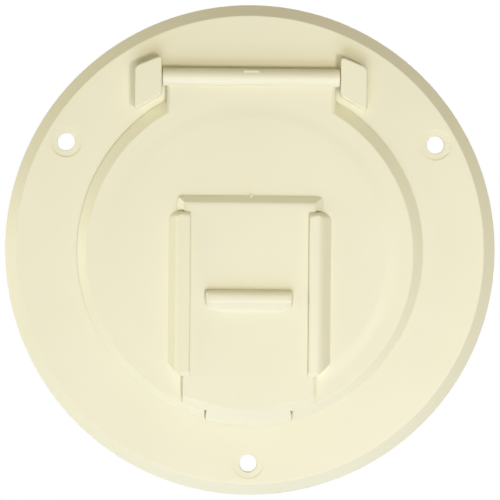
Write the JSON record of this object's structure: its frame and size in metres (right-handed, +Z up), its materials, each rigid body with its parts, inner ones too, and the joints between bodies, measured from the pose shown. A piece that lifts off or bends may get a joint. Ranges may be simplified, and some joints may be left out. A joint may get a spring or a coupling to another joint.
{
  "type": "rv power cord hatch",
  "caption": "Round flanged wall hatch for a power cord, with a top-hinged door, side rails and a sliding cord gate with a finger ridge.",
  "frame": {"origin": "centre of the flange on the wall's outer face", "axes": "+Z up the wall, +X to the right when looking at the door, -Y out of the wall; the collar reaches into the wall along +Y"},
  "size_m": [0.146, 0.0346, 0.146],
  "materials": {
    "moulded_plastic": "satin, warm ivory"
  },
  "bodies": {
    "ring": {"mounting_ring": "moulded_plastic"},
    "door": {"door": "moulded_plastic"},
    "slide": {"cord_slide": "moulded_plastic"}
  },
  "joints": [
    {"name": "door_hinge", "type": "hinge", "parent": "ring", "child": "door", "pos_m": [0, -0.00695, 0.05125], "axis": [-1, 0, 0], "range_deg": [0, 180]},
    {"name": "cord_gate", "type": "slide", "parent": "door", "child": "slide", "axis": [0, 0, 1], "range_m": [0, 0.027]}
  ]
}
